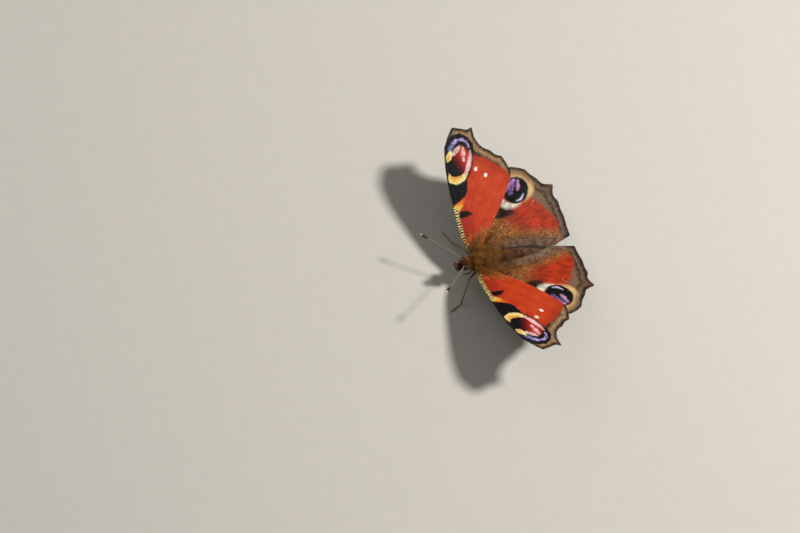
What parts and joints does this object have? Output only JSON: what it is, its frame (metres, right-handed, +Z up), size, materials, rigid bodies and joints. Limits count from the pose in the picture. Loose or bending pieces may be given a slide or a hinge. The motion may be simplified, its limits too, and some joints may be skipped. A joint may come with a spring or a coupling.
{
  "type": "butterfly",
  "caption": "Butterfly at life size, resting on its feet with eye-spotted wings held open in a shallow V, feelers raised and the tongue rolled under the head",
  "frame": {"origin": "centre of the bounding box at floor level; the feet stand on Z = 0", "axes": "+Z up, the head faces -Y and the insect's left is +X; X is the wingspan"},
  "size_m": [0.0576, 0.0353, 0.0168],
  "materials": {
    "body_fur": "dense olive-brown hair",
    "abdomen_fur": "short dark brown hair over ringed skin",
    "eye": "faceted, dark red-brown, slightly hairy",
    "antenna": "finely ringed, dark club with a pale tip",
    "proboscis": "satin brown coil",
    "forewing": "powdery scales, rust red with eyespots, near black beneath",
    "hindwing": "powdery scales, rust red to grey-brown with eyespots, near black beneath",
    "leg": "scaly yellow-brown"
  },
  "bodies": {
    "root": {"head": "body_fur", "thorax": "body_fur", "abdomen": "abdomen_fur", "eye_left": "eye", "eye_right": "eye", "antenna_left": "antenna", "antenna_right": "antenna", "palp_left": "body_fur", "palp_right": "body_fur", "proboscis": "proboscis", "forewing_left": "forewing", "forewing_right": "forewing", "hindwing_left": "hindwing", "hindwing_right": "hindwing", "fore_leg_left": "leg", "fore_leg_right": "leg", "mid_leg_left": "leg", "mid_leg_right": "leg", "hind_leg_left": "leg", "hind_leg_right": "leg"}
  },
  "joints": []
}
